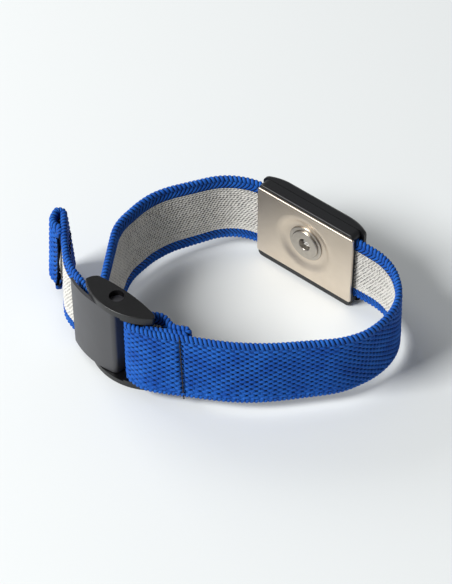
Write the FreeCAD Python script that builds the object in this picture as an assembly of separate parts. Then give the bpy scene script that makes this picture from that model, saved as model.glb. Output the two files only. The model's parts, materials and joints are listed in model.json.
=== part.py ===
import FreeCAD, Part
import math
import os
from FreeCAD import Vector

os.makedirs("parts", exist_ok=True)

# Anti-static wrist strap: an elastic knitted band with a conductive inner face, a riveted contact
# housing that carries the snap stud for a ground lead, and a cam buckle that sets the band's length.
# Millimetres. While it is built, X = 0 and Z = MID_Z lie on the stud's axis, Y = 0 is the wrist face
# of the contact plate and +Y points out of the stud. place_on_origin() then stands the part on Z = 0.

# ---- knitted band
BAND_WIDTH = 18.4
BAND_THICK = 1.5
SELVEDGE_ROUND = 0.45
FACE_WIDTH = 13.0
FACE_THICK = 0.3
LAYER_GAP = 0.15

# ---- the band's route round the wrist: corners of its centre line and the bend at each
RIGHT_X = 32.0
RIGHT_SHOULDER_Y = -19.0
LEFT_BACK_REACH = 7.4
LEFT_X = -31.0
LEFT_SHOULDER_Y = -16.2
LEFT_FOOT_X = -28.8
LEFT_FOOT_Y = -27.5
FRONT_CORNER_X = 15.3
FRONT_CORNER_Y = -38.8
FRONT_RADIUS = 50.0
SHOULDER_RADIUS = 22.0
RIGHT_RADIUS = 15.5
LEFT_BACK_RADIUS = 13.0
LEFT_RADIUS = 20.0
LEFT_FOOT_RADIUS = 14.0

# ---- the band's route through the buckle and out to the folded tail
FRONT_FOOT_REACH = 3.2
FRONT_FOOT_RADIUS = 15.0
INNER_LAYER_X = 9.2
INNER_LAYER_Y = 3.5
INNER_LAYER_RADIUS = 3.0
CLAMP_ENTRY_REACH = 8.0
CLAMP_ENTRY_RADIUS = 4.5
CLAMP_EXIT_REACH = 6.4
CLAMP_EXIT_RADIUS = 3.0
TAIL_BEND_REACH = 17.3
TAIL_BEND_RISE = 2.6
TAIL_BEND_RADIUS = 12.0
TAIL_CORNER_X = -36.6
TAIL_CORNER_Y = -38.9
TAIL_CORNER_RADIUS = 20.0
TAIL_HEADING = 138
TAIL_REACH = 10.0
FOLD_WIDTH = 2.9
FOLD_RADIUS = 1.3
BELLY_REACH = 5.2
BELLY_WIDTH = 4.3
BELLY_RADIUS = 3.0
HEM_TURN_REACH = 2.9
HEM_TURN_RADIUS = 1.6
HEM_END_REACH = 0.7

# ---- contact plate and its rivet
PLATE_WIDTH = 27.4
PLATE_HEIGHT = 20.0
PLATE_THICK = 0.5
PLATE_CORNER = 0.5
PLATE_EDGE_ROUND = 0.2
DISH_RADIUS = 7.6
DISH_FLOOR_RADIUS = 5.7
DISH_DEPTH = 0.9
DISH_ROUND = 3.6
TUBE_BORE_RADIUS = 1.5
TUBE_WALL = 0.4
RIVET_CLEAR = 0.1
EYELET_RADIUS = 4.6
EYELET_FLANGE = 0.3
EYELET_RING_RADIUS = 3.7
EYELET_RING_HEIGHT = 0.4
EYELET_ROUND = 0.25

# ---- snap stud
STUD_HEAD_RADIUS = 3.5
STUD_HEAD_LENGTH = 1.6
STUD_HEAD_ROUND = 0.7
STUD_NECK_RADIUS = 3.1
STUD_NECK_LENGTH = 1.3
STUD_NECK_FLARE = 0.5
STUD_FLANGE_RADIUS = 5.75
STUD_FLANGE = 0.5
STUD_RIM = 0.1
STUD_DOME = 0.6
STUD_SEAT_CLEAR = 0.15
CLINCH_RADIUS = 2.4
CLINCH_HEIGHT = 0.4

# ---- moulded housing, in two halves
BASE_INSET = 0.1
COVER_OVERHANG = 0.8
HOUSING_CORNER = 1.2
UPPER_LIP = 0.9
LOWER_LIP = 1.8
LIP_STEP = 0.2
LIP_ROUND = 0.3
COVER_BACK_Y = 6.0
COVER_END = 1.2
COVER_END_ROUND = 1.0
COVER_SHOULDER = 6.0
COVER_ROUND = 1.6
PARTING_CHAMFER = 0.12
CHANNEL_CLEAR = 0.2
COVER_WALL = 1.2
BOSS_RADIUS = 5.0
RIB_THICK = 1.0

# ---- cam buckle; places are measured from the lever's pivot
PIVOT_X = -14.5
PIVOT_Y = -47.1
BAND_SIDE_CLEAR = 0.6
CHEEK_THICK = 1.5
CHEEK_STEP = 0.5
STEP_X = 4.0
CLAMP_BAR_X = -5.2
CLAMP_BAR_Y = 0.4
CLAMP_BAR_RADIUS = 0.9
LOOP_BAR_X = 6.2
LOOP_BAR_Y = -1.0
LOOP_BAR_RADIUS = 1.0
CHEEK_LEFT = -8.7
CHEEK_LEFT_Y = -0.6
CHEEK_RIGHT = 10.8
CHEEK_RIGHT_Y = 0.2
CHEEK_INNER = 2.5
CHEEK_OUTER = -3.9
CHEEK_OUTER_X = 1.6
CHEEK_LEFT_TAPER = 0.4
CHEEK_RIGHT_TAPER = 1.0
CHEEK_LEFT_ROUND = 1.6
CHEEK_RIGHT_ROUND = 2.4
CHEEK_BULGE = 0.35
CHEEK_CORNER_ROUND = 0.7
CHEEK_EDGE_ROUND = 0.2
LEVER_CLEAR = 0.2
LEVER_TIP_X = -12.4
LEVER_TIP_Y = -1.4
LEVER_TIP_THICK = 0.5
LEVER_BELLY_X = -7.2
LEVER_BELLY_Y = -3.15
LEVER_PLATE = 0.8
LEVER_NOSE_X = 0.3
LEVER_NOSE_Y = -1.8
LEVER_NOSE_RADIUS = 1.35
LEVER_NOSE_FROM = -78
HUB_RADIUS = 2.1
TRUNNION_RADIUS = 1.64
TRUNNION_CLEAR = 0.06
TRUNNION_RECESS = 0.3
RAMP_HEADING = 130
RAMP_ANGLE = 22
TOOTH_COUNT = 4
TOOTH_HEIGHT = 0.35
TOOTH_CLEAR = 0.25
CAM_FROM = -28.0
CAM_TO = -80.0

# ---- sewing
THREAD_RADIUS = 0.2
STITCH_COUNT = 6
STITCH_TAIL = 1.0
HEM_FROM_END = 1.3
SEAM_REACH = 7.9
LAYER_END = 1.4

# ---- worked out from the above
UP = Vector(0, 0, 1)
OUTWARD = Vector(0, 1, 0)
PIVOT = Vector(PIVOT_X, PIVOT_Y, 0)
CLAMP_BAR = Vector(CLAMP_BAR_X, CLAMP_BAR_Y, 0)
LOOP_BAR = Vector(LOOP_BAR_X, LOOP_BAR_Y, 0)
BASE_LENGTH = PLATE_WIDTH - 2 * BASE_INSET
COVER_LENGTH = PLATE_WIDTH + 2 * COVER_OVERHANG
LEFT_BACK_X = -BASE_LENGTH / 2 - LEFT_BACK_REACH
BUCKLE_HEIGHT = BAND_WIDTH + 2 * (BAND_SIDE_CLEAR + CHEEK_STEP + CHEEK_THICK)
MID_Z = BUCKLE_HEIGHT / 2
HOUSING_LOW_Z = MID_Z - PLATE_HEIGHT / 2 - LOWER_LIP
HOUSING_HIGH_Z = MID_Z + PLATE_HEIGHT / 2 + UPPER_LIP
CHANNEL_FRONT_Y = PLATE_THICK + DISH_DEPTH
BAND_Y = CHANNEL_FRONT_Y + BAND_THICK / 2
PARTING_Y = CHANNEL_FRONT_Y + BAND_THICK + CHANNEL_CLEAR
CHANNEL_HALF = BAND_WIDTH / 2 + CHANNEL_CLEAR
TUBE_RADIUS = TUBE_BORE_RADIUS + TUBE_WALL
STUD_SEAT_Y = COVER_BACK_Y - STUD_FLANGE
STUD_TOP_Y = COVER_BACK_Y + STUD_NECK_LENGTH + STUD_HEAD_LENGTH + STUD_DOME
LAYER_PITCH = BAND_THICK + LAYER_GAP
SEAM_DEPTH = LAYER_PITCH + BAND_THICK / 2
LOOP_BEND = LOOP_BAR_RADIUS + BAND_THICK / 2
CLAMP_BEND = CLAMP_BAR_RADIUS + BAND_THICK / 2


def direction(degrees):
    return Vector(math.cos(math.radians(degrees)), math.sin(math.radians(degrees)), 0)


def left_of(heading):
    return Vector(-heading.y, heading.x, 0)


def prism(outline, low, high):
    """Upright solid between two heights over a closed list of edges in the plane."""
    wire = Part.Wire(Part.__sortEdges__(outline))
    solid = Part.Face(wire).extrude(UP * (high - low))
    solid.translate(UP * low)
    return solid


def closed_lines(points):
    pairs = zip(points, points[1:] + points[:1])
    return [Part.LineSegment(a, b).toShape() for a, b in pairs]


def rounded_block(length, low, high, corner, front, back):
    """Block across the stud's axis with rounded corners, between two places on that axis."""
    block = Part.makeBox(length, back - front, high - low, Vector(-length / 2, front, low))
    along = [e for e in block.Edges if abs(e.Vertexes[0].Y - e.Vertexes[1].Y) > (back - front) / 2]
    return block.makeFillet(corner, along)


def turned(profile):
    """Solid of revolution about the stud's axis from (radius, place along the axis) points."""
    points = [Vector(radius, along, MID_Z) for radius, along in profile]
    face = Part.Face(Part.Wire(closed_lines(points)))
    return face.revolve(Vector(0, 0, MID_Z), OUTWARD, 360)


def axial_hole(radius, front, back):
    return Part.makeCylinder(radius, back - front, Vector(0, front, MID_Z), OUTWARD)


# ---------------------------------------------------------------- the band's route

def front_run():
    """Where the outer layer leaves the loop bar, and its heading to the front corner."""
    foot = PIVOT + LOOP_BAR + Vector(FRONT_FOOT_REACH, -LOOP_BEND, 0)
    corner = Vector(FRONT_CORNER_X, FRONT_CORNER_Y, 0)
    return foot, corner, (corner - foot).normalize()


def band_corners():
    """Corners of the band's centre line, each with the radius that the band takes there.

    It starts at the end sewn behind the loop bar, runs round the wrist through the housing, wraps
    round the clamp bar and ends in the folded hem of the tail.
    """
    loop_bar = PIVOT + LOOP_BAR
    clamp_bar = PIVOT + CLAMP_BAR
    front_foot, front_corner, front_heading = front_run()
    inner_layer = front_foot + left_of(front_heading) * LAYER_PITCH
    tail_corner = Vector(TAIL_CORNER_X, TAIL_CORNER_Y, 0)
    tail_heading = direction(TAIL_HEADING)

    def on_tail(reach, aside):
        return tail_corner + tail_heading * reach + left_of(tail_heading) * aside


    return [
        (inner_layer + front_heading * (SEAM_REACH + LAYER_END), 0),
        (inner_layer + front_heading * (SEAM_REACH - LAYER_END), INNER_LAYER_RADIUS),
        (PIVOT + Vector(INNER_LAYER_X, INNER_LAYER_Y, 0), INNER_LAYER_RADIUS),
        (loop_bar + Vector(-LOOP_BEND, LOOP_BEND, 0), LOOP_BEND),
        (loop_bar + Vector(-LOOP_BEND, -LOOP_BEND, 0), LOOP_BEND),
        (front_foot, FRONT_FOOT_RADIUS),
        (front_corner, FRONT_RADIUS),
        (Vector(RIGHT_X, RIGHT_SHOULDER_Y, 0), SHOULDER_RADIUS),
        (Vector(RIGHT_X, BAND_Y, 0), RIGHT_RADIUS),
        (Vector(LEFT_BACK_X, BAND_Y, 0), LEFT_BACK_RADIUS),
        (Vector(LEFT_X, LEFT_SHOULDER_Y, 0), LEFT_RADIUS),
        (Vector(LEFT_FOOT_X, LEFT_FOOT_Y, 0), LEFT_FOOT_RADIUS),
        (Vector(PIVOT_X - CLAMP_ENTRY_REACH, clamp_bar.y + CLAMP_BEND, 0), CLAMP_ENTRY_RADIUS),
        (clamp_bar + Vector(CLAMP_BEND, CLAMP_BEND, 0), CLAMP_BEND),
        (clamp_bar + Vector(CLAMP_BEND, -CLAMP_BEND, 0), CLAMP_BEND),
        (Vector(PIVOT_X - CLAMP_EXIT_REACH, clamp_bar.y - CLAMP_BEND, 0), CLAMP_EXIT_RADIUS),
        (PIVOT + Vector(-TAIL_BEND_REACH, TAIL_BEND_RISE, 0), TAIL_BEND_RADIUS),
        (tail_corner, TAIL_CORNER_RADIUS),
        (on_tail(TAIL_REACH, 0), FOLD_RADIUS),
        (on_tail(TAIL_REACH, FOLD_WIDTH), FOLD_RADIUS),
        (on_tail(BELLY_REACH, BELLY_WIDTH), BELLY_RADIUS),
        (on_tail(HEM_TURN_REACH, LAYER_PITCH), HEM_TURN_RADIUS),
        (on_tail(HEM_END_REACH, LAYER_PITCH), 0),
    ]


def tangent_runs(corners):
    """Straight runs and tangent arcs through the corners.

    Each run is (start, end, centre, turn): centre is None on a straight run, turn is +1 to the left
    and -1 to the right. Where two bends would meet on a short run, both are made tighter.
    """
    points = [point for point, radius in corners]
    headings = [(b - a).normalize() for a, b in zip(points, points[1:])]
    turns = [0] + [math.atan2(a.cross(b).z, a.dot(b)) for a, b in zip(headings, headings[1:])] + [0]
    reach = [radius * math.tan(abs(turn) / 2) for (point, radius), turn in zip(corners, turns)]
    share = [1.0] * len(points)
    for i, (a, b) in enumerate(zip(points, points[1:])):
        wanted = reach[i] + reach[i + 1]
        fit = min(1.0, (b - a).Length / wanted)
        share[i] = min(share[i], fit)
        share[i + 1] = min(share[i + 1], fit)
    reach = [r * s for r, s in zip(reach, share)]

    runs = []
    here = points[0]
    for i in range(1, len(points) - 1):
        start = points[i] - headings[i - 1] * reach[i]
        end = points[i] + headings[i] * reach[i]
        if (start - here).Length > 1e-6:
            runs.append((here, start, None, 0))
        side = math.copysign(1, turns[i])
        radius = reach[i] / math.tan(abs(turns[i]) / 2)
        centre = start + left_of(headings[i - 1]) * (side * radius)
        runs.append((start, end, centre, side))
        here = end
    runs.append((here, points[-1], None, 0))
    return runs


def moved_aside(run, offset):
    """A run's ends and centre after it is moved to the left by offset."""
    start, end, centre, side = run
    if centre is None:
        shift = left_of((end - start).normalize()) * offset
        return start + shift, end + shift, None
    radius = (start - centre).Length
    scale = (radius - side * offset) / radius
    return centre + (start - centre) * scale, centre + (end - centre) * scale, centre


def edge_of(run, offset):
    start, end, centre = moved_aside(run, offset)
    if centre is None:
        return Part.LineSegment(start, end).toShape()
    radius = (start - centre).Length
    middle = centre + ((start + end) * 0.5 - centre).normalize() * radius
    return Part.Arc(start, middle, end).toShape()


def ribbon(runs, right, left, low, high):
    """Upright strip that follows the runs between two offsets from their line."""
    edges = [edge_of(run, right) for run in runs]
    edges += [edge_of(run, left) for run in runs]
    for place, run in ((0, runs[0]), (1, runs[-1])):
        a = moved_aside(run, right)[place]
        b = moved_aside(run, left)[place]
        edges.append(Part.LineSegment(a, b).toShape())
    return prism(edges, low, high)


BAND_RUNS = tangent_runs(band_corners())


# ---------------------------------------------------------------- seams

def seam_places():
    """Each seam's point on the layer where it starts, and that layer's heading."""
    foot, _, heading = front_run()
    loop_point = foot + heading * SEAM_REACH
    flap_start, flap_end = BAND_RUNS[-1][0], BAND_RUNS[-1][1]
    flap_heading = (flap_end - flap_start).normalize()
    hem_point = flap_end - flap_heading * HEM_FROM_END
    return (loop_point, heading), (hem_point, flap_heading)


def stitch_heights():
    pitch = BAND_WIDTH / STITCH_COUNT
    low = MID_Z - BAND_WIDTH / 2 + pitch / 2
    return [low + pitch * i for i in range(STITCH_COUNT)]


def crossings(place):
    """The thread's crossings through both layers, one for each stitch."""
    point, heading = place
    across = left_of(heading)
    start = point - across * (BAND_THICK / 2 + THREAD_RADIUS)
    length = BAND_THICK / 2 + SEAM_DEPTH + 2 * THREAD_RADIUS
    return [Part.makeCylinder(THREAD_RADIUS, length, start + UP * z, across) for z in stitch_heights()]


def seam(place):
    """One row of lock stitches: a run on each face of the two layers and the crossings between."""
    point, heading = place
    across = left_of(heading)
    heights = stitch_heights()
    low, high = heights[0] - STITCH_TAIL, heights[-1] + STITCH_TAIL
    rows = []
    for offset in (-BAND_THICK / 2 - THREAD_RADIUS, SEAM_DEPTH + THREAD_RADIUS):
        foot = point + across * offset + UP * low
        rows.append(Part.makeCylinder(THREAD_RADIUS, high - low, foot, UP))
    return rows[0].multiFuse(rows[1:] + crossings(place))


# ---------------------------------------------------------------- knitted band

def needle_holes():
    loop_place, hem_place = seam_places()
    return crossings(loop_place) + crossings(hem_place)


def elastic_band():
    """The knitted strip, less the inlaid conductive face, the rivet's hole and the needle holes."""
    low = MID_Z - BAND_WIDTH / 2
    strip = ribbon(BAND_RUNS, -BAND_THICK / 2, BAND_THICK / 2, low, low + BAND_WIDTH)
    ends = [e for e in strip.Edges if e.BoundBox.ZLength < 1e-6]
    rims = [e for e in ends if e.Length > BAND_THICK + LAYER_GAP / 2]
    strip = strip.makeFillet(SELVEDGE_ROUND, rims)
    strip = strip.cut(face_strip())
    for hole in [axial_hole(TUBE_RADIUS, 0, COVER_BACK_Y)] + needle_holes():
        strip = strip.cut(hole)
    return strip


def face_strip():
    low = MID_Z - FACE_WIDTH / 2
    return ribbon(BAND_RUNS, BAND_THICK / 2 - FACE_THICK, BAND_THICK / 2, low, low + FACE_WIDTH)


def conductive_face():
    strip = face_strip()
    for hole in [axial_hole(TUBE_RADIUS, 0, COVER_BACK_Y)] + needle_holes():
        strip = strip.cut(hole)
    return strip


# ---------------------------------------------------------------- contact plate, rivet and stud

def circles_at(shape, radius, along):
    """A turned face's round edges of one radius at one place on the stud's axis."""
    flat = [e for e in shape.Edges if e.BoundBox.YLength < 1e-6 and abs(e.BoundBox.YMin - along) < 1e-6]
    return [e for e in flat if abs(e.BoundBox.XLength - 2 * radius) < 1e-3]


def contact_plate():
    """Thin sheet with a round dish pressed in its middle, drawn with soft edges."""
    low = MID_Z - PLATE_HEIGHT / 2
    sheet = rounded_block(PLATE_WIDTH, low, low + PLATE_HEIGHT, PLATE_CORNER, 0, PLATE_THICK)
    back = turned([
        (0, 0),
        (DISH_RADIUS + PLATE_THICK, 0),
        (DISH_RADIUS + PLATE_THICK, PLATE_THICK),
        (DISH_FLOOR_RADIUS + PLATE_THICK / 2, PLATE_THICK + DISH_DEPTH),
        (0, PLATE_THICK + DISH_DEPTH),
    ])
    hollow = turned([
        (0, 0),
        (DISH_RADIUS, 0),
        (DISH_FLOOR_RADIUS, DISH_DEPTH),
        (0, DISH_DEPTH),
    ])
    plate = sheet.fuse(back).cut(hollow)
    drawn = circles_at(plate, DISH_RADIUS, 0) + circles_at(plate, DISH_FLOOR_RADIUS, DISH_DEPTH)
    plate = plate.makeFillet(DISH_ROUND, drawn)
    plate = plate.cut(axial_hole(TUBE_RADIUS + RIVET_CLEAR, 0, COVER_BACK_Y))
    rim = [e for e in plate.Edges if e.BoundBox.YMax < 1e-6]
    long_rim = [e for e in rim if e.BoundBox.ZLength < 1e-6 and e.Length > PLATE_WIDTH / 2]
    return plate.makeFillet(PLATE_EDGE_ROUND, long_rim)


def snap_eyelet():
    """Rivet with a thin flange and a raised ring; its tube is rolled over inside the stud."""
    seat = DISH_DEPTH
    flange_y = seat - EYELET_FLANGE
    ring_y = flange_y - EYELET_RING_HEIGHT
    clinch_y = STUD_TOP_Y - CLINCH_HEIGHT
    rivet = turned([
        (TUBE_BORE_RADIUS, ring_y),
        (EYELET_RING_RADIUS, ring_y),
        (EYELET_RING_RADIUS, flange_y),
        (EYELET_RADIUS, flange_y),
        (EYELET_RADIUS, seat),
        (TUBE_RADIUS, seat),
        (TUBE_RADIUS, clinch_y),
        (CLINCH_RADIUS, clinch_y),
        (CLINCH_RADIUS, clinch_y + CLINCH_HEIGHT / 2),
        (TUBE_RADIUS, STUD_TOP_Y - CLINCH_HEIGHT / 4),
        (TUBE_BORE_RADIUS, STUD_TOP_Y - CLINCH_HEIGHT / 4),
    ])
    ring = circles_at(rivet, EYELET_RING_RADIUS, ring_y) + circles_at(rivet, TUBE_BORE_RADIUS, ring_y)
    rivet = rivet.makeFillet(EYELET_ROUND, ring)
    return rivet.makeFillet(EYELET_FLANGE / 2, circles_at(rivet, EYELET_RADIUS, flange_y))


def snap_stud():
    """Male snap stud: a flange seated in the cover, a waisted neck and a cylindrical head."""
    neck_y = COVER_BACK_Y + STUD_NECK_LENGTH
    head_y = neck_y + STUD_HEAD_LENGTH
    sink_y = STUD_TOP_Y - CLINCH_HEIGHT
    flange_y = COVER_BACK_Y + STUD_RIM
    return turned([
        (TUBE_RADIUS, STUD_SEAT_Y),
        (STUD_FLANGE_RADIUS, STUD_SEAT_Y),
        (STUD_FLANGE_RADIUS, COVER_BACK_Y - STUD_RIM),
        (STUD_FLANGE_RADIUS - 2 * STUD_RIM, flange_y),
        (STUD_NECK_RADIUS + STUD_NECK_FLARE, flange_y),
        (STUD_NECK_RADIUS, flange_y + STUD_NECK_FLARE),
        (STUD_NECK_RADIUS, neck_y - 2 * STUD_RIM),
        (STUD_HEAD_RADIUS, neck_y),
        (STUD_HEAD_RADIUS, head_y),
        (STUD_HEAD_RADIUS - STUD_HEAD_ROUND / 3, head_y + STUD_DOME * 2 / 3),
        (STUD_HEAD_RADIUS - STUD_HEAD_ROUND, STUD_TOP_Y),
        (CLINCH_RADIUS, STUD_TOP_Y),
        (CLINCH_RADIUS, sink_y),
        (TUBE_RADIUS, sink_y),
    ])


# ---------------------------------------------------------------- housing

def housing_base():
    """Wrist-side half: the plate lies in its shallow recess and the band's channel runs behind."""
    front = PLATE_THICK - LIP_STEP
    base = rounded_block(BASE_LENGTH, HOUSING_LOW_Z, HOUSING_HIGH_Z, HOUSING_CORNER, front, PARTING_Y)
    lip = [e for e in base.Edges if e.BoundBox.YMax < front + 1e-6 and e.Length > BASE_LENGTH / 2]
    base = base.makeFillet(LIP_ROUND, lip)
    joint = [e for e in base.Edges if e.BoundBox.YMin > PARTING_Y - 1e-6 and e.Length > BASE_LENGTH / 2]
    base = base.makeChamfer(PARTING_CHAMFER, joint)
    low = MID_Z - PLATE_HEIGHT / 2 - RIVET_CLEAR
    high = low + PLATE_HEIGHT + 2 * RIVET_CLEAR
    recess = rounded_block(PLATE_WIDTH + 2 * CHANNEL_CLEAR, low, high, PLATE_CORNER, 0, PLATE_THICK)
    dish_room = axial_hole(DISH_RADIUS + PLATE_THICK + CHANNEL_CLEAR, 0, PARTING_Y)
    channel_corner = Vector(-COVER_LENGTH / 2, CHANNEL_FRONT_Y, MID_Z - CHANNEL_HALF)
    channel = Part.makeBox(COVER_LENGTH, PARTING_Y, 2 * CHANNEL_HALF, channel_corner)
    return base.cut(recess).cut(dish_room).cut(channel)


def cover_outline():
    """The cover from above: flat back that curves down over the band at both ends."""
    half = COVER_LENGTH / 2
    end_y = PARTING_Y + COVER_END
    drop = COVER_BACK_Y - end_y
    radius = (COVER_SHOULDER ** 2 + drop ** 2) / (2 * drop)
    sweep = math.degrees(math.asin(COVER_SHOULDER / radius))
    centre = Vector(half - COVER_SHOULDER, COVER_BACK_Y - radius, 0)
    right = [centre + direction(90 - sweep * share) * radius for share in (0, 0.5, 1)]
    left = [Vector(-p.x, p.y, 0) for p in right]
    foot_right = Vector(half, PARTING_Y, 0)
    foot_left = Vector(-half, PARTING_Y, 0)
    return [
        Part.Arc(right[0], right[1], right[2]).toShape(),
        Part.LineSegment(right[2], foot_right).toShape(),
        Part.LineSegment(foot_right, foot_left).toShape(),
        Part.LineSegment(foot_left, left[2]).toShape(),
        Part.Arc(left[2], left[1], left[0]).toShape(),
        Part.LineSegment(left[0], right[0]).toShape(),
    ]


def housing_cover():
    """Outer half: rounded shell behind the band, a boss for the rivet and the stud's seat."""
    cover = prism(cover_outline(), HOUSING_LOW_Z, HOUSING_HIGH_Z)
    upright = [e for e in cover.Edges if e.BoundBox.YLength < 1e-6 and e.BoundBox.ZLength > COVER_ROUND]
    ends = [e for e in upright if abs(e.BoundBox.YMin - PARTING_Y - COVER_END) < 1e-6]
    cover = cover.makeFillet(COVER_END_ROUND, ends)
    rim = [e for e in cover.Edges if e.BoundBox.ZLength < 1e-6 and e.BoundBox.YMax > PARTING_Y + 1e-6]
    cover = cover.makeFillet(COVER_ROUND, rim)
    pocket_depth = COVER_BACK_Y - COVER_WALL - PARTING_Y
    half_x = COVER_LENGTH / 2 - COVER_SHOULDER
    half_z = CHANNEL_HALF - COVER_WALL
    pocket = Part.makeBox(2 * half_x, pocket_depth, 2 * half_z, Vector(-half_x, PARTING_Y, MID_Z - half_z))
    pocket = pocket.cut(axial_hole(BOSS_RADIUS, PARTING_Y, COVER_BACK_Y))
    rib_corner = Vector(-half_x, PARTING_Y, MID_Z - RIB_THICK / 2)
    rib = Part.makeBox(2 * half_x, pocket_depth, RIB_THICK, rib_corner)
    seat = axial_hole(STUD_FLANGE_RADIUS + STUD_SEAT_CLEAR, STUD_SEAT_Y, COVER_BACK_Y)
    rivet_hole = axial_hole(TUBE_RADIUS + RIVET_CLEAR, 0, COVER_BACK_Y)
    return cover.cut(pocket.cut(rib)).cut(seat).cut(rivet_hole)


# ---------------------------------------------------------------- cam buckle

def cheek_outline():
    """Lens-shaped side: nearly straight along the wrist, bowed outwards, round at both ends."""
    left = Vector(CHEEK_LEFT, CHEEK_LEFT_Y, 0)
    right = Vector(CHEEK_RIGHT, CHEEK_RIGHT_Y, 0)
    outer = Vector(CHEEK_OUTER_X, CHEEK_OUTER, 0)
    inner_left = Vector(CHEEK_LEFT + CHEEK_LEFT_ROUND, CHEEK_INNER - CHEEK_LEFT_TAPER, 0)
    inner_middle = Vector(0, CHEEK_INNER, 0)
    inner_right = Vector(CHEEK_RIGHT - CHEEK_RIGHT_ROUND, CHEEK_INNER - CHEEK_RIGHT_TAPER, 0)
    end_left = (left + inner_left) * 0.5 + Vector(-CHEEK_BULGE, CHEEK_BULGE / 2, 0)
    end_right = (right + inner_right) * 0.5 + Vector(CHEEK_BULGE, CHEEK_BULGE / 2, 0)
    curves = [
        Part.Arc(left, outer, right).toShape(),
        Part.Arc(right, end_right, inner_right).toShape(),
        Part.Arc(inner_right, inner_middle, inner_left).toShape(),
        Part.Arc(inner_left, end_left, left).toShape(),
    ]
    for curve in curves:
        curve.translate(PIVOT)
    return curves


def cheek(top):
    """One side of the frame, thinner beside the lever, with the hole for the lever's trunnion."""
    inward = -1 if top else 1
    face_z = MID_Z - inward * BUCKLE_HEIGHT / 2
    thin_z = face_z + inward * CHEEK_THICK
    thick_z = thin_z + inward * CHEEK_STEP
    side = prism(cheek_outline(), min(face_z, thick_z), max(face_z, thick_z))
    corners = [e for e in side.Edges if e.BoundBox.ZLength > CHEEK_THICK]
    side = side.makeFillet(CHEEK_CORNER_ROUND, corners)
    rim = [e for e in side.Edges if abs(e.BoundBox.Center.z - face_z) < 1e-6]
    side = side.makeFillet(CHEEK_EDGE_ROUND, rim)
    span = CHEEK_RIGHT - CHEEK_LEFT
    room_corner = PIVOT + Vector(STEP_X - 2 * span, -span, min(thin_z, thick_z))
    lever_room = Part.makeBox(2 * span, 2 * span, CHEEK_STEP, room_corner)
    bore_foot = PIVOT + UP * (face_z - BUCKLE_HEIGHT / 2)
    bore = Part.makeCylinder(TRUNNION_RADIUS + TRUNNION_CLEAR, BUCKLE_HEIGHT, bore_foot, UP)
    return side.cut(lever_room).cut(bore)


def buckle_frame():
    low = MID_Z - BUCKLE_HEIGHT / 2 + CHEEK_THICK / 2
    length = BUCKLE_HEIGHT - CHEEK_THICK
    frame = cheek(True).fuse(cheek(False))
    for place, radius in ((CLAMP_BAR, CLAMP_BAR_RADIUS), (LOOP_BAR, LOOP_BAR_RADIUS)):
        frame = frame.fuse(Part.makeCylinder(radius, length, PIVOT + place + UP * low, UP))
    return frame.removeSplitter()


def cam_teeth():
    """Toothed edge of the lever that presses the band on the clamp bar, concentric with the bar."""
    tip = CLAMP_BAR_RADIUS + BAND_THICK + TOOTH_CLEAR
    step = (CAM_TO - CAM_FROM) / (2 * TOOTH_COUNT)
    points = []
    for i in range(2 * TOOTH_COUNT + 1):
        radius = tip if i % 2 else tip + TOOTH_HEIGHT
        points.append(CLAMP_BAR + direction(CAM_FROM + step * i) * radius)
    return points


def lever_outline():
    """Section of the lever: thin tip, plate that follows the cheeks' bow, toothed cam, round nose."""
    tip_out = Vector(LEVER_TIP_X, LEVER_TIP_Y, 0)
    tip_in = Vector(LEVER_TIP_X + LEVER_TIP_THICK / 2, LEVER_TIP_Y + LEVER_TIP_THICK, 0)
    belly_out = Vector(LEVER_BELLY_X, LEVER_BELLY_Y, 0)
    belly_in = Vector(LEVER_BELLY_X, LEVER_BELLY_Y + LEVER_PLATE, 0)
    nose = Vector(LEVER_NOSE_X, LEVER_NOSE_Y, 0)
    nose_out = nose + direction(LEVER_NOSE_FROM) * LEVER_NOSE_RADIUS
    nose_middle = nose + direction(LEVER_NOSE_FROM / 2) * LEVER_NOSE_RADIUS
    nose_right = nose + direction(0) * LEVER_NOSE_RADIUS
    hub_right = direction(0) * HUB_RADIUS
    hub_left = direction(180) * HUB_RADIUS
    teeth = cam_teeth()
    toothed = [hub_left] + teeth
    curves = [
        Part.Arc(tip_out, belly_out, nose_out).toShape(),
        Part.Arc(nose_out, nose_middle, nose_right).toShape(),
        Part.LineSegment(nose_right, hub_right).toShape(),
        Part.Arc(hub_right, direction(90) * HUB_RADIUS, hub_left).toShape(),
        Part.Arc(teeth[-1], belly_in, tip_in).toShape(),
        Part.LineSegment(tip_in, tip_out).toShape(),
    ]
    curves += [Part.LineSegment(a, b).toShape() for a, b in zip(toothed, toothed[1:])]
    for curve in curves:
        curve.translate(PIVOT)
    return curves


def lead_in(top):
    """What is cut off one trunnion's end, so that it slopes and snaps past its cheek."""
    side = 1 if top else -1
    size = 4 * TRUNNION_RADIUS
    end_z = MID_Z + side * (BUCKLE_HEIGHT / 2 - TRUNNION_RECESS)
    flush = PIVOT - direction(RAMP_HEADING) * TRUNNION_RADIUS + UP * end_z
    block = Part.makeBox(2 * size, size, size, flush + Vector(-size, 0, 0 if top else -size))
    block.rotate(flush, UP, RAMP_HEADING - 90)
    block.rotate(flush, direction(RAMP_HEADING - 90), -side * RAMP_ANGLE)
    return block


def buckle_lever():
    half = BUCKLE_HEIGHT / 2 - CHEEK_THICK - LEVER_CLEAR
    lever = prism(lever_outline(), MID_Z - half, MID_Z + half)
    reach = BUCKLE_HEIGHT / 2 - TRUNNION_RECESS
    trunnion = Part.makeCylinder(TRUNNION_RADIUS, 2 * reach, PIVOT + UP * (MID_Z - reach), UP)
    return lever.fuse(trunnion.cut(lead_in(True)).cut(lead_in(False)))


# ---------------------------------------------------------------- assembly

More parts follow.
